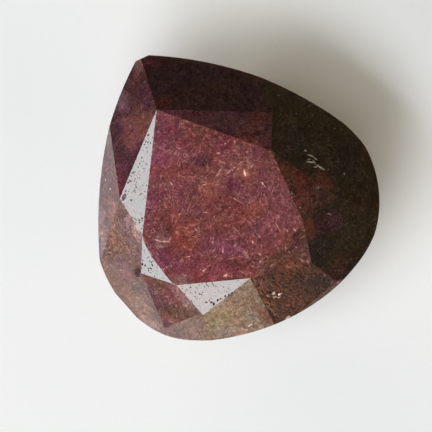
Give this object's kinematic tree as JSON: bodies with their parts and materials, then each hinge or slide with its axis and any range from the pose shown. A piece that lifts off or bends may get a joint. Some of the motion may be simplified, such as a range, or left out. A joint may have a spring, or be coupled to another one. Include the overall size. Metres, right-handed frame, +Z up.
{
  "type": "pear-cut faceted ruby gemstone",
  "caption": "Cloudy pear-cut ruby for jewellery or display, with a flat table, sloping crown facets, a plain girdle and a shallow faceted pavilion that ends in a flat culet.",
  "frame": {"origin": "centre of the stone's bounding box at the height of its lowest facet, the flat culet it rests on", "axes": "+Z up through the table, +Y towards the pear's tip, +X to the right of the tip seen from above"},
  "size_m": [0.0178, 0.018, 0.007],
  "materials": {
    "ruby": "polished facets, cloudy dark red body with pale silky veils"
  },
  "bodies": {
    "root": {"ruby": "ruby"}
  },
  "joints": []
}
